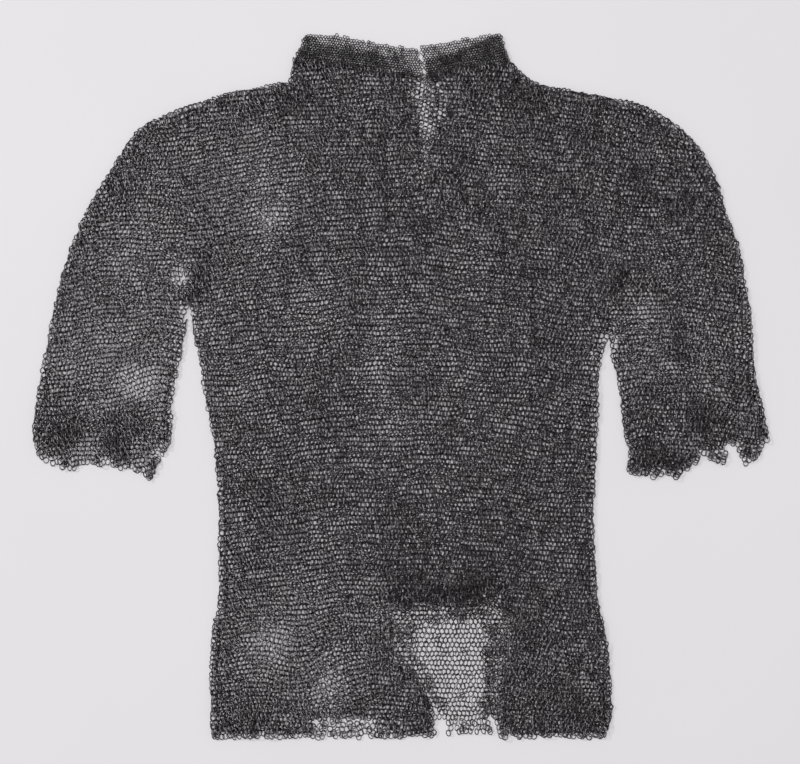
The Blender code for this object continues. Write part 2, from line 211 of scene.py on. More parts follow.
class HauberkRingSettings(PropertyGroup):
    """Sizes of the rings."""

    radius: FloatProperty(name="Ring radius", description="From a ring's middle to its wire's middle",
                          default=3.4 * MM, min=2 * MM, max=6 * MM, unit="LENGTH")
    collar_radius: FloatProperty(name="Collar ring radius", description="The collar's rings are smaller",
                                 default=1.9 * MM, min=1.5 * MM, max=6 * MM, unit="LENGTH")
    collar_wire: FloatProperty(name="Collar wire", description="Thickness of the collar's wire",
                               default=0.75 * MM, min=0.5 * MM, max=2 * MM, unit="LENGTH")
    wire: FloatProperty(name="Wire", description="Thickness of the wire",
                        default=1.2 * MM, min=0.6 * MM, max=2.4 * MM, unit="LENGTH")
    lean: FloatProperty(name="Lean", description="How far a ring leans out of the cloth",
                        default=math.radians(25), min=0, max=math.radians(45), subtype="ANGLE")
    seed: IntProperty(name="Seed", description="Chooses the small irregularities", default=11)


class HauberkWeaveSettings(PropertyGroup):
    """Spacing of the rings, across a row and from row to row."""

    body_pitch: FloatProperty(name="Body pitch", description="Between two rings of a row",
                              default=4.9 * MM, unit="LENGTH")
    body_rows: FloatProperty(name="Body rows", description="Between two rows of the body",
                             default=6.1 * MM, unit="LENGTH")
    yoke_rows: FloatProperty(name="Yoke rows", description="Between two rows at the shoulders",
                             default=5.5 * MM, unit="LENGTH")
    sleeve_rows: FloatProperty(name="Sleeve rows", description="Between two rows of a sleeve",
                               default=5.35 * MM, unit="LENGTH")
    skirt_pitch: FloatProperty(name="Skirt pitch", description="Between two rings of a skirt's row",
                               default=5.4 * MM, unit="LENGTH")
    skirt_rows_right: FloatProperty(name="Skirt rows, right", description="On the wearer's right",
                                    default=5.3 * MM, unit="LENGTH")
    skirt_rows_left: FloatProperty(name="Skirt rows, left", description="On the wearer's left",
                                   default=4.6 * MM, unit="LENGTH")


class HauberkFinishSettings(PropertyGroup):
    """Colours of the iron."""

    iron: FloatVectorProperty(name="Iron", description="Darkened iron", subtype="COLOR",
                              size=3, min=0, max=1, default=linear("#353235"))
    # The crowns' grey is partly rubbed wear, partly a painted highlight.
    wear_and_glint: FloatVectorProperty(name="Worn iron", description="Rubbed crowns of the rings",
                              subtype="COLOR", size=3, min=0, max=1, default=linear("#dbd6d9"))
    rust: FloatVectorProperty(name="Old rust", description="Brown stain in the iron",
                              subtype="COLOR", size=3, min=0, max=1, default=linear("#38322f"))


class HauberkStageSettings(PropertyGroup):
    """Floor, light and camera."""

    floor: FloatVectorProperty(name="Floor", description="Pale matt board", subtype="COLOR",
                               size=3, min=0, max=1, default=linear("#e7e5e7"))
    view_width: FloatProperty(name="View width", description="Width of floor that the camera sees",
                              default=0.98, unit="LENGTH")
    lens: FloatProperty(name="Lens", description="Focal length in millimetres", default=85.0)
    key_power: FloatProperty(name="Key light", description="Power of the large soft light",
                             default=228.0, unit="POWER")


# Outlines and fields


def smooth(low, high, value):
    """Nought below `low`, one above `high`, and a soft step between them."""
    t = np.clip((value - low) / (high - low), 0, 1)
    return t * t * (3 - 2 * t)


def curve(points, step=CURVE_STEP):
    """Points about `step` apart on a smooth line through `points`."""
    line = np.array(points, float)
    padded = np.vstack([2 * line[0] - line[1], line, 2 * line[-1] - line[-2]])
    made = []
    for p0, p1, p2, p3 in zip(padded, padded[1:], padded[2:], padded[3:]):
        count = max(1, round(math.dist(p1, p2) / step))
        for t in np.arange(count) / count:
            made.append(0.5 * (2 * p1 + (p2 - p0) * t + (2 * p0 - 5 * p1 + 4 * p2 - p3) * t ** 2
                               + (3 * p1 - p0 - 3 * p2 + p3) * t ** 3))
    return np.array(made + [line[-1]])


class Outline:
    """A closed line round one layer of mail, made of runs that are folded, cut or a seam."""

    def __init__(self, runs):
        starts, ends, self.kinds = [], [], []
        for points, kind in runs:
            line = np.array(points, float)
            starts.append(line[:-1])
            ends.append(line[1:])
            self.kinds += [kind] * (len(line) - 1)
        self.start = np.vstack(starts)
        self.end = np.vstack(ends)

    def contains(self, points):
        """Whether each point is inside."""
        odd = np.zeros(len(points), bool)
        x, y = points.T
        for (ax, ay), (bx, by) in zip(self.start, self.end):
            if ay != by:
                spans = (ay > y) != (by > y)
                odd ^= spans & (x < ax + (y - ay) * (bx - ax) / (by - ay))
        return odd

    def nearest(self, points, wanted=None):
        """Distance to the line, or to its runs of one kind, and the nearest point."""
        best = np.full(len(points), 1e9)
        foot = np.zeros((len(points), 2))
        for a, b, kind in zip(self.start, self.end, self.kinds):
            if wanted and kind != wanted:
                continue
            run = b - a
            along = np.clip((points - a) @ run / (run @ run), 0, 1)
            near = a + along[:, None] * run
            gap = np.linalg.norm(points - near, axis=1)
            closer = gap < best
            best[closer] = gap[closer]
            foot[closer] = near[closer]
        return best, foot


def garment_runs(hem_parts, neck_parts):
    """Runs of the whole garment's outline but its collar, counter-clockwise from the hem."""
    runs = [(part, "cut") for part in hem_parts]
    runs += [(curve(SIDE_LEFT), "fold"), (curve(SLEEVE_LEFT_INNER), "fold")]
    runs += [(CUFF_LEFT[::-1], "cut"), (curve(SLEEVE_LEFT_OUTER)[::-1], "fold")]
    runs += [(curve(SHOULDER_LEFT), "fold")]
    runs += neck_parts
    runs += [(curve(NECK_SIDE_RIGHT)[::-1], "fold"), (curve(SHOULDER_RIGHT)[::-1], "fold")]
    runs += [(curve(SLEEVE_RIGHT_OUTER), "fold"), (CUFF_RIGHT, "cut")]
    runs += [(curve(SLEEVE_RIGHT_INNER)[::-1], "fold"), (curve(SIDE_RIGHT)[::-1], "fold")]
    return runs


SLIT_END = [SLIT_LEFT[-1], SLIT_RIGHT[-1]]
FRONT = Outline(garment_runs(
    [HEM_FRONT_RIGHT, VENT, HEM_FRONT_LEFT],
    [(COLLAR_FOOT_LEFT[::-1], "seam"), (curve(SLIT_LEFT), "cut"), (SLIT_END, "cut"),
     (curve(SLIT_RIGHT)[::-1], "cut"), (NECKLINE[:4][::-1], "seam")]))
BACK = Outline(garment_runs([HEM_BACK], [(NECKLINE[::-1], "seam")]))
VENT_LINE = Outline([(VENT, "cut"), ([VENT[-1], VENT[0]], "cut")])
FRINGE_LINE = Outline([([(-108, -440), (-2, -440), (-2, -412), (-108, -412), (-108, -440)], "cut")])
SLIT_LINE = Outline([(curve(SLIT_RIGHT), "cut"), (SLIT_END[::-1], "cut"),
                     (curve(SLIT_LEFT)[::-1], "cut"), ([SLIT_LEFT[0], SLIT_RIGHT[0]], "cut")])


def relief(points):
    """How far the ridges lift the upper layer."""
    lift = np.zeros(len(points))
    for start, end, width, height in RIDGES:
        a, run = np.array(start, float), np.array(end, float) - np.array(start, float)
        along = np.clip((points - a) @ run / (run @ run), 0, 1)
        gap = np.linalg.norm(points - a - along[:, None] * run, axis=1)
        lift += height * np.exp(-(gap / width) ** 2)
    return lift


def stretch(points):
    """How open the mail is: above nought where its rings are apart, below where they are close."""
    total = 0.02 - 0.00022 * points[:, 0]
    for x, y, radius, strain in STRAINS + THIN:
        total += strain * np.exp(-((points - (x, y)) ** 2).sum(axis=1) / radius ** 2)
    return total


def strip_gap(points, strips):
    """How far each point is outside the nearest strip, as a share of the strip's half width."""
    best = np.full(len(points), 1e9)
    for start, end, width in strips:
        a, run = np.array(start, float), np.array(end, float) - np.array(start, float)
        along = np.clip((points - a) @ run / (run @ run), 0, 1)
        gap = np.linalg.norm(points - a - along[:, None] * run, axis=1)
        best = np.minimum(best, gap / width)
    return best


def waves(points, seed, count, shortest, longest, size):
    """A smooth random field: a sum of plane waves with lengths from shortest to longest."""
    chance = np.random.default_rng(seed)
    total = np.zeros(len(points))
    for _ in range(count):
        heading, phase = chance.uniform(0, 2 * math.pi, 2)
        length = math.exp(chance.uniform(math.log(shortest), math.log(longest)))
        across = points @ np.array([math.cos(heading), math.sin(heading)])
        total += np.sin(2 * math.pi * across / length + phase)
    return total * size / math.sqrt(count / 2)


def worked(points):
    """Where the cloth's points lie once it is arched, stretched, bunched and slightly uneven."""
    moved = points.copy()
    moved[:, 1] -= 0.18 * (np.sqrt(points[:, 0] ** 2 + 100 ** 2) - 100)
    shift = np.zeros_like(moved)
    for x, y, radius, strain in STRAINS:
        arm = moved - (x, y)
        shift += strain * arm * np.exp(-(arm ** 2).sum(axis=1) / radius ** 2)[:, None]
    for x, y, radius, angle in SWIRLS:
        arm = moved - (x, y)
        across = np.column_stack([-arm[:, 1], arm[:, 0]])
        shift += angle * across * np.exp(-(arm ** 2).sum(axis=1) / radius ** 2)[:, None]
    drift = np.column_stack([waves(points, 3, 14, 60, 180, 1.6), waves(points, 4, 14, 60, 180, 1.6)])
    ripple = np.column_stack([waves(points, 5, 24, 12, 40, 0.6), waves(points, 6, 24, 12, 40, 0.6)])
    return moved + shift + drift + ripple


# Lattices of rings


def body_lattice(weave):
    """Rings of the body above the skirt and of the sleeves, before the cloth is worked."""
    pitch, rows = weave.body_pitch / MM, weave.body_rows / MM
    heights = [BANDS[-1][1]]
    while heights[-1] < 440:
        heights.append(heights[-1] + np.interp(heights[-1], [150, 250], [rows, weave.yoke_rows / MM]))
    heights = np.array(heights)
    hung_from = 240.0
    row_there = np.interp(hung_from, heights, np.arange(len(heights)))
    count = round(480 / pitch)
    row, column = np.meshgrid(np.arange(len(heights)), np.arange(-count, count + 1), indexing="ij")
    row, column = row.ravel(), column.ravel()
    x = (column + 0.5 * (row % 2)) * pitch
    x += np.sign(x) * np.maximum(np.abs(x) - 245, 0) * 0.1
    on_sleeve = smooth(245, 300, np.abs(x))
    sleeve_y = hung_from + (row - row_there) * weave.sleeve_rows / MM
    y = heights[row] * (1 - on_sleeve) + sleeve_y * on_sleeve
    return np.column_stack([x, y]), np.where(row % 2, 1.0, -1.0)


def skirt_lattice(weave):
    """Rings of the skirt, whose rows lie closer on the wearer's left."""
    pitch, right, left = (size / MM for size in (
        weave.skirt_pitch, weave.skirt_rows_right, weave.skirt_rows_left))
    count = round(275 / pitch)
    row, column = np.meshgrid(np.arange(45), np.arange(-count, count + 1), indexing="ij")
    row, column = row.ravel(), column.ravel()
    x = (column + 0.5 * (row % 2)) * pitch
    rows = right + (left - right) * smooth(0, 110, x)
    first = (weave.body_rows / MM + rows) / 2
    y = BANDS[-1][1] - first - row * rows
    return np.column_stack([x, y]), np.where(row % 2, -1.0, 1.0)


def window_lattice(low, high, pitch, rows, tilt=0.0):
    """A plain lattice over a rectangle, turned about the rectangle's middle."""
    columns, lines = int((high[0] - low[0]) / pitch) + 1, int((high[1] - low[1]) / rows) + 1
    row, column = np.meshgrid(np.arange(lines), np.arange(columns), indexing="ij")
    row, column = row.ravel(), column.ravel()
    points = np.column_stack([low[0] + (column + 0.5 * (row % 2)) * pitch, low[1] + row * rows])
    middle = (np.array(low) + high) / 2
    turn = np.array([[math.cos(tilt), math.sin(tilt)], [-math.sin(tilt), math.cos(tilt)]])
    return (points - middle) @ turn + middle, np.where(row % 2, 1.0, -1.0)


def row_direction(points):
    """The direction of the row at each point, once the cloth is worked."""
    ahead = worked(points + (1.0, 0.0)) - worked(points - (1.0, 0.0))
    return ahead / np.linalg.norm(ahead, axis=1)[:, None]


class Rings:
    """Middles and axes of many rings, in the cut's frame."""

    def __init__(self, centre, along, out, lean):
        self.centre = centre      # the ring's middle
        self.along = along        # the row's direction
        self.out = out            # square to the cloth
        self.lean = lean          # angle, with its sign

    def chosen(self, mask):
        """Only the rings under a mask."""
        return Rings(self.centre[mask], self.along[mask], self.out[mask], self.lean[mask])

    @staticmethod
    def joined(sets):
        """Several sets as one."""
        return Rings(*(np.concatenate([getattr(one, part) for one in sets])
                       for part in ("centre", "along", "out", "lean")))


def turned(vectors, axis, angle):
    """Vectors turned about unit axes."""
    cos, sin = np.cos(angle)[:, None], np.sin(angle)[:, None]
    dot = (vectors * axis).sum(axis=1)[:, None]
    return vectors * cos + np.cross(axis, vectors) * sin + axis * dot * (1 - cos)


def laid(points, row, lean, outline, margin, upper=True):
    """Rings laid on a layer inside an outline, turned round its folds and kept off its cuts."""
    inside = outline.contains(points)
    cut_gap, _ = outline.nearest(points, "cut")
    seam_gap, _ = outline.nearest(points, "seam")
    fold_gap, foot = outline.nearest(points, "fold")
    round_fold = (fold_gap < np.minimum(cut_gap, seam_gap) - 0.01) & (cut_gap > margin)
    reach = math.pi * FOLD_TURN - FOLD_INSET + FOLD_RUN
    keep = inside & (cut_gap > margin)
    if upper:
        keep |= ~inside & round_fold & (fold_gap < reach)
    else:
        keep &= fold_gap > FOLD_INSET
    points, row, lean, foot = points[keep], row[keep], lean[keep], foot[keep]
    inside, fold_gap = inside[keep], fold_gap[keep]

    towards = (foot - points) / np.maximum(fold_gap, 1e-6)[:, None]
    outward = np.where(inside[:, None], towards, -towards)
    past = FOLD_INSET + np.where(inside, -fold_gap, fold_gap)
    angle = np.clip(past / FOLD_TURN, 0, math.pi)
    under = np.maximum(past - math.pi * FOLD_TURN, 0)
    from_start = FOLD_TURN * np.sin(angle) - under
    turned_in = foot + outward * (from_start - FOLD_INSET)[:, None]
    flat = np.where((past > 0)[:, None], turned_in, points)

    base = FRONT_Z if upper else BACK_Z
    z = np.full(len(flat), base)
    out = np.tile([0.0, 0.0, 1.0], (len(flat), 1))
    if upper:
        share = (1 + np.cos(angle)) / 2
        z = (FRONT_Z + BACK_Z) / 2 + FOLD_TURN * np.cos(angle) + relief(flat) * share
        step = 1.0
        slope_x = (relief(flat + (step, 0)) - relief(flat - (step, 0))) / (2 * step)
        slope_y = (relief(flat + (0, step)) - relief(flat - (0, step))) / (2 * step)
        out = np.column_stack([-slope_x * share, -slope_y * share, np.ones(len(flat))])
        out /= np.linalg.norm(out, axis=1)[:, None]
    along = np.column_stack([row, np.zeros(len(row))])
    along -= out * (along * out).sum(axis=1)[:, None]
    along /= np.linalg.norm(along, axis=1)[:, None]
    axis = np.column_stack([-outward[:, 1], outward[:, 0], np.zeros(len(flat))])
    out = turned(out, axis, angle)
    along = turned(along, axis, angle)
    return Rings(np.column_stack([flat, z]), along, out, lean)


def heaped(points, row, sign, lean):
    """Rings caught between the layers, or on top of them, where the mail is heaped."""
    cut_gap, _ = FRONT.nearest(points)
    chance = np.random.default_rng(30)
    share = 1.2 * (1 - strip_gap(points, HEAPS) + waves(points, 34, 12, 18, 60, 0.35))
    kept = FRONT.contains(points) & (cut_gap > 4.0) & (chance.uniform(0, 1, len(points)) < share)
    kept &= strip_gap(points, HEAPS) < 1.4
    flat = points[kept]
    z = FRONT_Z - 1.7 + relief(flat) + 3.6 * (waves(flat, 31, 8, 25, 60, 1.0) > 0)
    out = np.column_stack([waves(flat, 32, 8, 15, 40, 0.25), waves(flat, 33, 8, 15, 40, 0.25),
                           np.ones(len(flat))])
    out /= np.linalg.norm(out, axis=1)[:, None]
    along = np.column_stack([row[kept], np.zeros(len(flat))])
    along -= out * (along * out).sum(axis=1)[:, None]
    along /= np.linalg.norm(along, axis=1)[:, None]
    return Rings(np.column_stack([flat, z]), along, out, (sign * lean)[kept])


def torn(points, row, sign, chance):
    """Loose rings of the front's torn edge, fewer the farther they hang over the vent."""
    share = 1.3 * (1 - strip_gap(points, TORN))
    kept = VENT_LINE.contains(points) | SLIT_LINE.contains(points)
    kept &= chance.uniform(0, 1, len(points)) < share
    kept &= points[:, 1] > HEM_Y + 6.5
    flat = points[kept] + chance.normal(0, 0.6, (kept.sum(), 2))
    out = np.tile([0.0, 0.0, 1.0], (len(flat), 1))
    return Rings(np.column_stack([flat, np.full(len(flat), BACK_Z + 2.6)]),
                 np.column_stack([row[kept], np.zeros(len(flat))]), out,
                 sign[kept] * chance.uniform(0.1, 0.8, len(flat)))


def in_band(low, high, y):
    """Whether y is from low up to high."""
    return (y >= low) & (y < high)


def side_of_seam(points):
    """-1 on the right sleeve, 1 on the left one, and 0 on the body."""
    right = np.interp(points[:, 1], [103, 349], [-260, -248])
    left = np.interp(points[:, 1], [60, 354], [253, 258])
    return np.where(points[:, 0] < right, -1, np.where(points[:, 0] > left, 1, 0))


# Meshes


def bare_scene():
    """Deselect everything, so that an operator acts only on what it makes."""
    if bpy.context.object and bpy.context.object.mode != "OBJECT":
        bpy.ops.object.mode_set(mode="OBJECT")
    bpy.ops.object.select_all(action="DESELECT")


def ring_pattern(name, radius, wire, sides=7):
    """One ring of round wire whose lapped joint is hammered flat and wide, lying at the origin.

    Three sides round the wire and seven round the ring keep tens of thousands of them light.
    A ring with so few sides is drawn a little large, so that it covers what a round one does.
    """
    bare_scene()
    wire_sides = 3
    chord = (1 + math.cos(math.pi / sides)) / 2
    round_width, drawn_width = 2.0, 1.65
    bpy.ops.mesh.primitive_torus_add(
        major_segments=sides, minor_segments=wire_sides, major_radius=radius / chord,
        minor_radius=wire / 2 * round_width / drawn_width, generate_uvs=True)
    pattern = bpy.context.object
    pattern.name = name
    lap = [v.index for v in pattern.data.vertices
           if v.co.x > 0 and abs(math.atan2(v.co.y, v.co.x)) < 0.1]
    bpy.ops.object.mode_set(mode="EDIT")
    bpy.ops.mesh.select_all(action="DESELECT")
    bpy.ops.object.mode_set(mode="OBJECT")
    for index in lap:
        pattern.data.vertices[index].select = True
    bpy.ops.object.mode_set(mode="EDIT")
    bpy.ops.mesh.select_mode(type="VERT")
    bpy.ops.transform.resize(value=(1.05, 1.0, 0.75))
    middle = (radius / chord, 0, 0)
    bpy.ops.transform.resize(value=(1.5, 1.0, 1.0), center_override=middle)
    bpy.ops.object.mode_set(mode="OBJECT")
    return pattern


def link_rings(name, rings, pattern, material, seed, atlas_height=1.0, loose=1.0):
    """A mesh of copies of one ring at every place, each turned, nudged and shaded a little."""
    rings = rings.chosen(strip_gap(rings.centre[:, :2], HOLES) > 1)
    chance = np.random.default_rng(seed)
    count = len(rings.centre)
    source = pattern.data
    verts = np.zeros(len(source.vertices) * 3)
    source.vertices.foreach_get("co", verts)
    verts = verts.reshape(-1, 3) / MM
    corners = np.zeros(len(source.loops), int)
    source.loops.foreach_get("vertex_index", corners)
    starts = np.zeros(len(source.polygons), int)
    source.polygons.foreach_get("loop_start", starts)
    uvs = np.zeros(len(source.loops) * 2)
    source.uv_layers[0].data.foreach_get("uv", uvs)
    uvs = uvs.reshape(-1, 2)

    lean = rings.lean + chance.normal(0, math.radians(9) * loose, count)
    spin = chance.uniform(0, 2 * math.pi, count)[:, None]
    yaw = chance.normal(0, math.radians(11) * loose, count)
    along = turned(rings.along, rings.out, yaw)
    column = np.cross(rings.out, along)
    first = along * np.cos(lean)[:, None] - rings.out * np.sin(lean)[:, None]
    square = np.cross(first, column)
    axes = np.stack([first * np.cos(spin) + column * np.sin(spin),
                     column * np.cos(spin) - first * np.sin(spin), square], axis=1)
    size = chance.normal(1, 0.02, count)
    nudge = chance.normal(0, 0.45 * loose, (count, 3)) * (1, 1, 0.5)
    placed = np.einsum("vk,nkj->nvj", verts, axes) * size[:, None, None]
    height = np.einsum("nvj,nj->nv", placed, rings.out)
    world = placed + (rings.centre + nudge)[:, None, :]
    world[:, :, :2] += SHIFT
    world[:, :, 2] = np.maximum(world[:, :, 2], 0.02)

    mesh = bpy.data.meshes.new(name)
    mesh.vertices.add(count * len(verts))
    mesh.vertices.foreach_set("co", (world * MM).ravel().astype(np.float32))
    mesh.loops.add(count * len(corners))
    offsets = np.arange(count)[:, None] * len(verts)
    mesh.loops.foreach_set("vertex_index", (corners + offsets).ravel().astype(np.int32))
    mesh.polygons.add(count * len(starts))
    offsets = np.arange(count)[:, None] * len(corners)
    mesh.polygons.foreach_set("loop_start", (starts + offsets).ravel().astype(np.int32))
    mesh.update(calc_edges=True)

    # shade: a random tone per ring, plus painted light and shade from stretch(): lighter where the mail is
    # open or thinner and towards -x, darker where it is bunched.
    shade = mesh.attributes.new("shade", "FLOAT", "POINT")
    shades = np.clip(chance.uniform(0, 1, count) + 1.2 * stretch(rings.centre[:, :2]), 0, 1)
    shade.data.foreach_set("value", np.repeat(shades, len(verts)).astype(np.float32))
    # crown: nearness to the ring's top and bottom, where the material paints a grey that is partly wear,
    # partly a painted highlight.
    crown = mesh.attributes.new("crown", "FLOAT", "POINT")
    tall = np.abs(height) / np.abs(height).max(axis=1)[:, None]
    crown.data.foreach_set("value", tall.ravel().astype(np.float32))

    across = math.ceil(math.sqrt(count))
    cell = np.column_stack([np.arange(count) % across, np.arange(count) // across])
    atlas = (cell[:, None, :] + 0.06 + 0.88 * uvs) / across * (1, atlas_height)
    layer = mesh.uv_layers.new(name="OFBake")
    layer.data.foreach_set("uv", atlas.ravel().astype(np.float32))
    mesh.shade_smooth()
    mesh.materials.append(material)
    piece = bpy.data.objects.new(name, mesh)
    bpy.context.scene.collection.objects.link(piece)
    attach(piece, BODY)
    return piece


def window_gap(points):
    """How far each point is outside the windows through which the lower layer shows."""
    gaps = []
    for line, spread in ((VENT_LINE, 9.0), (SLIT_LINE, 5.0), (FRINGE_LINE, 0.0)):
        gap, _ = line.nearest(points)
        gaps.append(np.where(line.contains(points), -gap, gap) - spread)
    return np.min(gaps, axis=0)


def sheet_field(points):
    """How far each point is inside the part of the lower layer that is a woven sheet."""
    fold_gap, _ = BACK.nearest(points, "fold")
    cut_gap, _ = BACK.nearest(points, "cut")
    seam_gap, _ = BACK.nearest(points, "seam")
    inside = BACK.contains(points)
    above_neck = ~inside & (seam_gap < np.minimum(fold_gap, cut_gap))
    side = np.where(inside | above_neck, 1.0, -1.0)
    edge = np.minimum(side * fold_gap - 6.0, side * cut_gap - 8.0)
    neck = np.where(inside, seam_gap, -seam_gap) + 2.0
    return np.minimum(np.minimum(edge, neck), window_gap(points))


def woven_sheet():
    """Faces of the lower layer's sheet: its points, its quads and the side each quad is on."""
    cell = 11.0
    xs, ys = np.arange(-462, 463, cell), np.arange(-440, 441, cell)
    grid_y, grid_x = np.meshgrid(ys, xs, indexing="ij")
    points = np.column_stack([grid_x.ravel(), grid_y.ravel()])
    field = sheet_field(points)
    index = np.arange(len(points)).reshape(len(ys), len(xs))
    quads = np.stack([index[:-1, :-1], index[:-1, 1:], index[1:, 1:], index[1:, :-1]],
                     axis=-1).reshape(-1, 4)
    quads = quads[(field[quads] > -0.4 * cell).all(axis=1)]
    used = np.unique(quads)
    near = used[field[used] < 0]
    step = 0.5
    for _ in range(3):
        here = points[near]
        value = sheet_field(here)
        slope = np.column_stack([
            sheet_field(here + (step, 0)) - sheet_field(here - (step, 0)),
            sheet_field(here + (0, step)) - sheet_field(here - (0, step))]) / (2 * step)
        points[near] -= slope * np.minimum(value, 0)[:, None]
    return points, quads, side_of_seam(points[quads].mean(axis=1))


def sheet_piece(name, points, quads, material):
    """A thin closed sheet from some of the quads, softly waved."""
    used, places = np.unique(quads, return_inverse=True)
    flat = points[used]
    z = SHEET_Z + waves(flat, 21, 12, 60, 160, 0.25)
    mesh = bpy.data.meshes.new(name)
    verts = np.column_stack([flat + SHIFT, z]) * MM
    mesh.from_pydata(verts.tolist(), [], places.reshape(-1, 4).tolist())
    open_share = mesh.attributes.new("gap", "FLOAT", "POINT")
    open_share.data.foreach_set("value", stretch(flat).astype(np.float32))
    piece = bpy.data.objects.new(name, mesh)
    bpy.context.scene.collection.objects.link(piece)
    mesh.materials.append(material)
    bare_scene()
    bpy.context.view_layer.objects.active = piece
    piece.select_set(True)
    wall = piece.modifiers.new("wall", "SOLIDIFY")
    wall.thickness = SHEET_THICK * MM
    wall.offset = 0
    bpy.ops.object.modifier_apply(modifier=wall.name)
    mesh.shade_smooth()
    return piece


def declare(piece, rings_area, nodes, rests_on=()):
    """The piece stands for its CAD nodes, which are hidden; gives the piece's size across the floor."""
    corners = np.zeros(len(piece.data.vertices) * 3)
    piece.data.vertices.foreach_get("co", corners)
    corners = corners.reshape(-1, 3)
    size = np.ptp(corners, axis=0)[:2]
    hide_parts(*nodes)
    return size


# Materials


def node(tree, kind, inputs=None, **settings):
    """A new shader node with its settings, values and links."""
    made = tree.nodes.new(kind)
    for name, value in settings.items():
        setattr(made, name, value)
    for socket, value in (inputs or {}).items():
        if isinstance(value, bpy.types.NodeSocket):
            tree.links.new(value, made.inputs[socket])
        else:
            made.inputs[socket].default_value = value
    return made


def new_material(name, colour):
    """A material with a Principled shader, and the shader."""
    material = bpy.data.materials.new(name)
    material.use_nodes = True
    material.diffuse_color = (*colour, 1)
    return material, material.node_tree, material.node_tree.nodes["Principled BSDF"]


def iron_colour(tree, finish, coords, shade, crown, painted_darkening):
    """Old iron's colour and roughness: dark scale with a tone that varies, painted light and shade carried
    by the shade input, brown stains, and grey on the crowns that is partly rubbed wear and partly a
    painted highlight.
    """
    patch = node(tree, "ShaderNodeTexNoise", {"Vector": coords, "Scale": 22.0, "Detail": 3.0})
    grain = node(tree, "ShaderNodeTexNoise", {"Vector": coords, "Scale": 900.0, "Detail": 2.0})
    # A factor below one darkens all the iron as painted shade, as on the collar.
    scale = tuple(c * painted_darkening for c in finish.iron)
    # The shade input spreads the scale's tone; on the rings it also carries painted light and shade from
    # how open the mail is.
    dark = node(tree, "ShaderNodeMix", {"Factor": shade, 6: (*[c * 0.4 for c in scale], 1),
                                        7: (*[c * 1.7 for c in scale], 1)},
                data_type="RGBA").outputs[2]
    stain = node(tree, "ShaderNodeMapRange", {"Value": patch.outputs["Fac"], "From Min": 0.5,
                                              "From Max": 0.75, "To Max": 0.55})
    stained = node(tree, "ShaderNodeMix", {"Factor": stain.outputs["Result"], 6: dark,
                                           7: (*[c * painted_darkening for c in finish.rust], 1)},
                   data_type="RGBA").outputs[2]
    # Crowns lightened towards that grey: partly rubbed wear, partly a painted highlight for the lamps'
    # glint.
    rub_and_glint = node(tree, "ShaderNodeMapRange", {"Value": crown, "From Min": 0.55, "From Max": 1.0})
    bare_and_glint = node(tree, "ShaderNodeMath", {0: shade, 1: 1.3, 2: 0.15}, operation="MULTIPLY_ADD")
    bare_and_glint = node(tree, "ShaderNodeMath", {0: bare_and_glint.outputs["Value"], 1: grain.outputs["Fac"]},
                operation="MULTIPLY")
    patchy = node(tree, "ShaderNodeMath", {0: rub_and_glint.outputs["Result"], 1: bare_and_glint.outputs["Value"]},
                  operation="MULTIPLY")
    wear_and_glint = node(tree, "ShaderNodeMix", {"Factor": patchy.outputs["Value"], 6: stained,
                                        7: (*[c * painted_darkening for c in finish.wear_and_glint], 1)},
                data_type="RGBA").outputs[2]
    rough = node(tree, "ShaderNodeMapRange", {"Value": grain.outputs["Fac"], "From Min": 0.3,
                                              "From Max": 0.7, "To Min": 0.34, "To Max": 0.54})
    return wear_and_glint, rough.outputs["Result"], grain.outputs["Fac"]


def ring_iron(name, finish, painted_darkening=1.0):
    """Hand-drawn iron wire, darkened with age; a factor below one darkens it further as painted shade.

    The eye sees dull charcoal rings with a soft grey glint on the crown of each: partly rubbed wear,
    partly a painted highlight.
    """
    material, tree, shader = new_material(name, finish.iron)
    coords = node(tree, "ShaderNodeTexCoord").outputs["Object"]
    shade = node(tree, "ShaderNodeAttribute", attribute_name="shade").outputs["Fac"]
    crown = node(tree, "ShaderNodeAttribute", attribute_name="crown").outputs["Fac"]
    colour, rough, grain = iron_colour(tree, finish, coords, shade, crown, painted_darkening)
    pits = node(tree, "ShaderNodeBump", {"Strength": 0.4, "Distance": 0.15 * MM, "Height": grain})
    tree.links.new(colour, shader.inputs["Base Color"])
    tree.links.new(rough, shader.inputs["Roughness"])
    tree.links.new(pits.outputs["Normal"], shader.inputs["Normal"])
    shader.inputs["Metallic"].default_value = 0.7
    return material


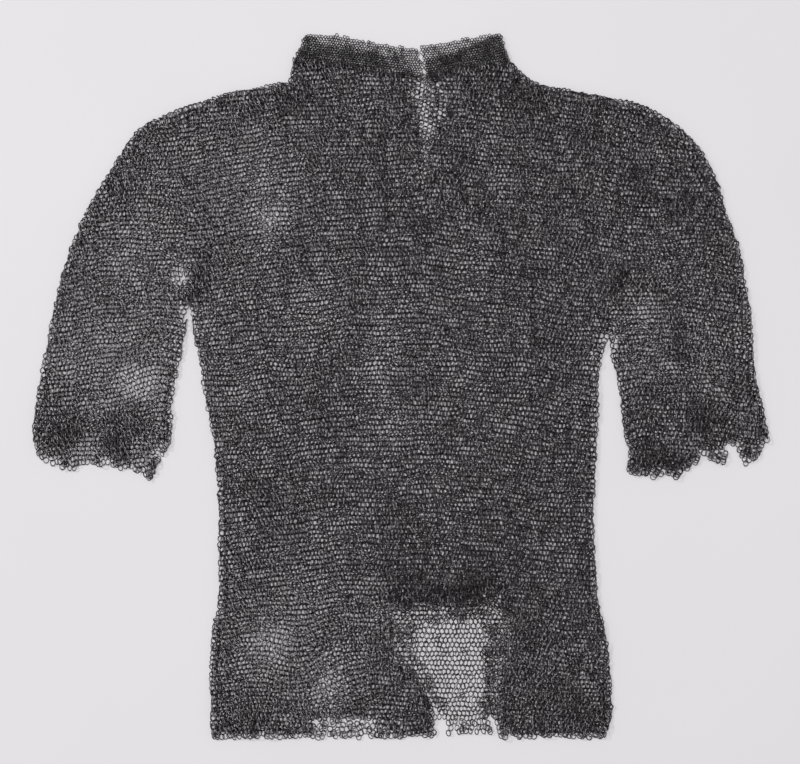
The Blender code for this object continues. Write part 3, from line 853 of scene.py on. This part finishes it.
def woven_iron(name, finish, rings, painted_darkening=1.0):
    """The lower layer's linked rings, as a pattern of leaning rings with real gaps between them.

    Four lattices of rings, two of each lean, cover the sheet; a ring shows where a point is
    within half the wire of its circle, and the highest wire is on top.
    """
    material, tree, shader = new_material(name, finish.iron)
    pitch, rows = 4.7, 5.4
    radius, half_wire = rings.radius / MM, rings.wire / MM / 2
    lean = rings.lean
    coords = node(tree, "ShaderNodeTexCoord").outputs["Object"]
    drift = node(tree, "ShaderNodeTexNoise", {"Vector": coords, "Scale": 22.0, "Detail": 3.0,
                                              "Roughness": 0.6})
    drift = node(tree, "ShaderNodeVectorMath", {0: drift.outputs["Color"], 1: (0.5, 0.5, 0.5)},
                 operation="SUBTRACT")
    drift = node(tree, "ShaderNodeVectorMath", {0: drift.outputs["Vector"], "Scale": 16 * MM},
                 operation="SCALE")
    moved = node(tree, "ShaderNodeVectorMath", {0: coords, 1: drift.outputs["Vector"]},
                 operation="ADD")
    in_mm = node(tree, "ShaderNodeVectorMath", {0: moved.outputs["Vector"], "Scale": 1 / MM},
                 operation="SCALE")
    place = node(tree, "ShaderNodeSeparateXYZ", {0: in_mm.outputs["Vector"]})
    gap = node(tree, "ShaderNodeAttribute", attribute_name="gap").outputs["Fac"]
    thick = node(tree, "ShaderNodeMath", {0: gap, 1: -1.5, 2: half_wire * 1.02},
                 operation="MULTIPLY_ADD").outputs["Value"]

    def maths(operation, *values):
        return node(tree, "ShaderNodeMath", dict(enumerate(values)),
                    operation=operation).outputs["Value"]

    shown = top = None
    for shift_x, shift_y, way in ((0, 0, 1), (pitch, 0, 1), (pitch / 2, rows, -1),
                                  (1.5 * pitch, rows, -1)):
        x = maths("WRAP", maths("ADD", place.outputs["X"], shift_x), pitch, -pitch)
        y = maths("WRAP", maths("ADD", place.outputs["Y"], shift_y), rows, -rows)
        wide = maths("MULTIPLY", x, 1 / math.cos(lean))
        far = maths("SQRT", maths("ADD", maths("MULTIPLY", wide, wide), maths("MULTIPLY", y, y)))
        off = maths("ABSOLUTE", maths("SUBTRACT", far, radius))
        wire = maths("LESS_THAN", off, thick)
        bulge = maths("SUBTRACT", thick, maths("MULTIPLY", off, maths("MULTIPLY", off, 1.5)))
        tall = maths("MULTIPLY", wire, maths("ADD", maths("MULTIPLY_ADD", x, way * math.tan(lean),
                                                          3.0), bulge))
        shown = wire if shown is None else maths("MAXIMUM", shown, wire)
        top = tall if top is None else maths("MAXIMUM", top, tall)
    # The drawn wires' tops get the grey crowns of iron_colour: partly wear, partly a painted highlight.
    crown = node(tree, "ShaderNodeMapRange", {"Value": top, "From Min": 3.0, "From Max": 5.2})
    patch = node(tree, "ShaderNodeTexNoise", {"Vector": coords, "Scale": 160.0})
    colour, rough, _ = iron_colour(tree, finish, coords, patch.outputs["Fac"],
                                   crown.outputs["Result"], painted_darkening)
    relief_bump = node(tree, "ShaderNodeBump", {"Strength": 0.8, "Distance": 1 * MM, "Height": top})
    tree.links.new(colour, shader.inputs["Base Color"])
    tree.links.new(rough, shader.inputs["Roughness"])
    tree.links.new(relief_bump.outputs["Normal"], shader.inputs["Normal"])
    tree.links.new(shown, shader.inputs["Alpha"])
    shader.inputs["Metallic"].default_value = 0.7
    return material


def matt_board(name, colour):
    """Smooth pale board: matt, with the faintest unevenness."""
    material, tree, shader = new_material(name, colour)
    coords = node(tree, "ShaderNodeTexCoord").outputs["Object"]
    cloud = node(tree, "ShaderNodeTexNoise", {"Vector": coords, "Scale": 3.0})
    mixed = node(tree, "ShaderNodeMix", {"Factor": cloud.outputs["Fac"]}, data_type="RGBA")
    mixed.inputs[6].default_value = (*[c * 0.97 for c in colour], 1)
    mixed.inputs[7].default_value = (*[min(1, c * 1.02) for c in colour], 1)
    tree.links.new(mixed.outputs[2], shader.inputs["Base Color"])
    shader.inputs["Roughness"].default_value = 0.85
    return material


def material_named(name, make, *args):
    """The material of that name, made the first time it is asked for."""
    return bpy.data.materials.get(name) or make(name, *args)


# Operators


class RingWork:
    """What the operators that link rings share."""

    def settings(self, context):
        scene = context.scene
        return scene.hauberk_rings, scene.hauberk_weave, scene.hauberk_finish

    def iron(self, finish):
        return material_named("darkened_iron", ring_iron, finish)

    def leaning(self, points, sign, rings):
        """Each ring's lean: more where the mail is drawn apart."""
        return sign * np.clip(rings.lean + stretch(points) * 0.9, 0.2, 0.75)


class HAUBERK_OT_front(RingWork, Operator):
    """Link the rings of the body's front and of both sleeves"""

    bl_idname = "hauberk.front"
    bl_label = "Front and sleeves"

    def execute(self, context):
        rings, weave, finish = self.settings(context)
        pattern = ring_pattern("ring_pattern", rings.radius, rings.wire)
        iron = self.iron(finish)
        chance = np.random.default_rng(rings.seed)
        sets = []
        for lattice in (body_lattice(weave), skirt_lattice(weave)):
            raw, sign = lattice
            points, row = worked(raw), row_direction(raw)
            ragged = 9.0 * np.clip(waves(points, 41, 10, 16, 50, 0.8), 0, 1)
            ragged *= (points[:, 1] < 200) & (VENT_LINE.nearest(points)[0] > 12)
            margin = 3.1 + 1.6 * chance.uniform(0, 1, len(points)) + ragged
            on_top = laid(points, row, self.leaning(points, sign, rings), FRONT, margin)
            extra = heaped(points + (2.4, 2.8), row, sign, rings.lean)
            sets.append(Rings.joined([on_top, extra, torn(points, row, sign, chance)]))
        body, skirt = sets
        side = side_of_seam(body.centre[:, :2])
        groups = []
        high = math.inf
        for name, low in BANDS:
            groups.append((name, body.chosen((side == 0) & in_band(low if name != BANDS[-1][0] else
                                                                   -math.inf, high,
                                                                   body.centre[:, 1]))))
            high = low
        groups.append(("mail_skirt", skirt))
        for number, (name, chosen) in enumerate(groups):
            piece = link_rings(name, chosen, pattern, iron, rings.seed + number)
            size = declare(piece, 0, ["body_front"])
        points, quads, quad_side = woven_sheet()
        woven = material_named("woven_iron_rings", woven_iron, finish, rings)
        for name, which in (("sleeve_right", -1), ("sleeve_left", 1)):
            chosen = body.chosen(side == which)
            piece = link_rings("mail_" + name, chosen, pattern, iron,
                               rings.seed + 20 + which, 0.8)
            under = sheet_piece("under_" + name, points, quads[quad_side == which], woven)
            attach(under, BODY)
            size = declare(piece, 0, [name])
        bpy.data.objects.remove(pattern)
        return {"FINISHED"}


class HAUBERK_OT_back(RingWork, Operator):
    """Link the lower layer's rings where they show, and lay its woven sheet"""

    bl_idname = "hauberk.back"
    bl_label = "Back"

    def execute(self, context):
        rings, weave, finish = self.settings(context)
        pattern = ring_pattern("ring_pattern", rings.radius, rings.wire * 0.9, 10)
        chance = np.random.default_rng(rings.seed + 50)
        sets = []
        raw, sign = body_lattice(weave)
        low_raw, low_sign = skirt_lattice(weave)
        raw, sign = np.vstack([raw, low_raw]), np.concatenate([sign, low_sign])
        points = worked(raw) + (2.0, 1.7)
        edge, _ = BACK.nearest(points, "cut")
        chosen = (edge < 10.5) & (window_gap(points) > 3.0)
        row = row_direction(raw)
        margin = 3.0 + 1.4 * chance.uniform(0, 1, len(points))
        sets.append(laid(points[chosen], row[chosen], self.leaning(points, sign, rings)[chosen],
                         BACK, margin[chosen], upper=False))
        for low, high, pitch, rows, lean, tilt in (
                ((-30, -445), (140, -250), 5.2, 5.6, 0.72, 0.0),
                ((-70, 215), (120, 425), 6.2, 4.4, 0.5, 0.5),
                ((-112, -445), (-1, -412), 6.0, 4.2, 0.45, 0.0)):
            points, sign = window_lattice(low, high, pitch, rows, tilt)
            chosen = (window_gap(points) < 3.0) & in_band(low[1], high[1], points[:, 1])
            points, sign = points[chosen], sign[chosen]
            points = points + np.column_stack([waves(points, 8, 16, 18, 60, 0.7),
                                               waves(points, 9, 16, 18, 60, 0.7)])
            points += chance.normal(0, 1.2, points.shape) * smooth(-396, -414, points[:, 1])[:, None]
            row = np.tile([math.cos(tilt), math.sin(tilt)], (len(points), 1))
            margin = 2.6 + 2.5 * chance.uniform(0, 1, len(points))
            sets.append(laid(points, row, sign * lean, BACK, margin, upper=False))
        everything = Rings.joined(sets)
        piece = link_rings("mail_back_edges", everything, pattern, self.iron(finish),
                           rings.seed + 60, loose=0.65)
        size = declare(piece, 0, ["body_back"])
        grid, quads, quad_side = woven_sheet()
        woven = material_named("woven_iron_rings", woven_iron, finish, rings)
        sheet = sheet_piece("mail_back", grid, quads[quad_side == 0], woven)
        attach(sheet, BODY)
        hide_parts("body_back")
        bpy.data.objects.remove(pattern)
        return {"FINISHED"}


class HAUBERK_OT_collar(RingWork, Operator):
    """Link the standing collar's two flattened layers of smaller rings"""

    bl_idname = "hauberk.collar"
    bl_label = "Collar"

    def execute(self, context):
        rings, weave, finish = self.settings(context)
        pattern = ring_pattern("collar_pattern", rings.collar_radius, rings.collar_wire)
        # Painted shade: the collar's iron is darkened to 0.4 of the rest.
        dark = material_named("collar_iron", ring_iron, finish, 0.4)
        chance = np.random.default_rng(rings.seed + 70)
        sets = [self.band(*part, rings, chance) for part in (
            (COLLAR_FOOT, COLLAR_TOP, FRONT_Z, -0.12),
            (COLLAR_FOOT_LEFT, COLLAR_TOP_LEFT, FRONT_Z, 0.24),
            (NECKLINE[:5], COLLAR_TOP_BACK[:5], BACK_Z, -0.12),
            (NECKLINE[4:], COLLAR_TOP_BACK[4:], BACK_Z, 0.15))]
        everything = Rings.joined(sets)
        piece = link_rings("mail_collar", everything, pattern, dark,
                           rings.seed + 80, loose=0.7)
        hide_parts("collar")
        bpy.data.objects.remove(pattern)
        return {"FINISHED"}

    def band(self, foot, top, z, tilt, rings, chance):
        """Rings between a foot line and a top line, in rows that rise by an angle."""
        foot = [(x, y - COLLAR_LAP) for x, y in foot]
        outline = Outline([(foot, "seam"), ([foot[-1], top[-1]], "fold"), (top[::-1], "cut"),
                           ([top[0], foot[0]], "fold")])
        points, sign = window_lattice((-190, 345), (190, 465), 3.3, 2.8, tilt)
        points += np.column_stack([waves(points, 51, 14, 20, 60, 0.5), waves(points, 52, 14, 20, 60, 0.5)])
        kept = outline.contains(points)
        kept &= outline.nearest(points, "cut")[0] > 1.6 + 1.0 * chance.uniform(0, 1, len(points))
        kept &= outline.nearest(points, "fold")[0] > 1.4
        centre = points[kept]
        lean = sign[kept] * (rings.lean * 0.7 + 0.12 * (centre[:, 1] > 412))
        return Rings(np.column_stack([centre, np.full(len(centre), z)]),
                     np.tile([math.cos(tilt), math.sin(tilt), 0.0], (len(centre), 1)),
                     np.tile([0.0, 0.0, 1.0], (len(centre), 1)), lean)


class HAUBERK_OT_stage(Operator):
    """Lay the pale floor, hang the soft light and set the camera straight above"""

    bl_idname = "hauberk.stage"
    bl_label = "Floor, light and camera"

    def execute(self, context):
        stage = context.scene.hauberk_stage
        bare_scene()
        bpy.ops.mesh.primitive_plane_add(size=6.0, location=(0, 0, 0))
        floor = context.object
        floor.name = "floor"
        floor.data.materials.append(matt_board("matt_board", tuple(stage.floor)))

        world = bpy.data.worlds.new("soft_room")
        world.use_nodes = True
        background = world.node_tree.nodes["Background"]
        background.inputs["Color"].default_value = (0.98, 0.975, 1.0, 1)
        background.inputs["Strength"].default_value = 0.30
        context.scene.world = world

        for name, place, size, share in (("top_light", (-0.2, 0.4, 6.6), 3.0, 1.0),
                                         ("side_light", (-4.0, 2.4, 5.0), 1.2, 0.5)):
            bpy.ops.object.light_add(type="AREA", location=place)
            lamp = context.object
            lamp.name = name
            lamp.data.shape = "DISK"
            lamp.data.size = size
            lamp.data.energy = stage.key_power * share
            lamp.rotation_euler = (-lamp.location).to_track_quat("-Z", "Y").to_euler()

        sensor = 36.0
        bpy.ops.object.camera_add(location=(-0.73 * MM, 4.95 * MM,
                                            stage.view_width * stage.lens / sensor + 6 * MM))
        camera = context.object
        camera.name = "camera"
        camera.rotation_euler = (0, 0, 0)
        camera.data.lens = stage.lens
        camera.data.sensor_width = sensor
        context.scene.camera = camera
        context.scene.view_settings.view_transform = "Standard"
        return {"FINISHED"}


class HAUBERK_PT_panel(Panel):
    """Lists what makes up the hauberk"""

    bl_label = "Mail hauberk"
    bl_idname = "HAUBERK_PT_panel"
    bl_space_type = "VIEW_3D"
    bl_region_type = "UI"
    bl_category = "Hauberk"

    def draw(self, context):
        layout = self.layout
        for group in ("hauberk_rings", "hauberk_weave", "hauberk_finish", "hauberk_stage"):
            box = layout.box()
            settings = getattr(context.scene, group)
            for name in settings.__annotations__:
                box.prop(settings, name)
        for operator in OPERATORS:
            layout.operator(operator.bl_idname)


SETTINGS = {"hauberk_rings": HauberkRingSettings, "hauberk_weave": HauberkWeaveSettings,
            "hauberk_finish": HauberkFinishSettings, "hauberk_stage": HauberkStageSettings}
OPERATORS = (HAUBERK_OT_stage, HAUBERK_OT_back, HAUBERK_OT_front, HAUBERK_OT_collar)
CLASSES = (*SETTINGS.values(), *OPERATORS, HAUBERK_PT_panel)


def register():
    for cls in CLASSES:
        bpy.utils.register_class(cls)
    for name, cls in SETTINGS.items():
        setattr(bpy.types.Scene, name, PointerProperty(type=cls))


def unregister():
    for name in SETTINGS:
        delattr(bpy.types.Scene, name)
    for cls in reversed(CLASSES):
        bpy.utils.unregister_class(cls)


def main():
    register()
    bpy.ops.hauberk.stage()
    bpy.ops.hauberk.back()
    bpy.ops.hauberk.front()
    bpy.ops.hauberk.collar()


if __name__ == "__main__":
    main()
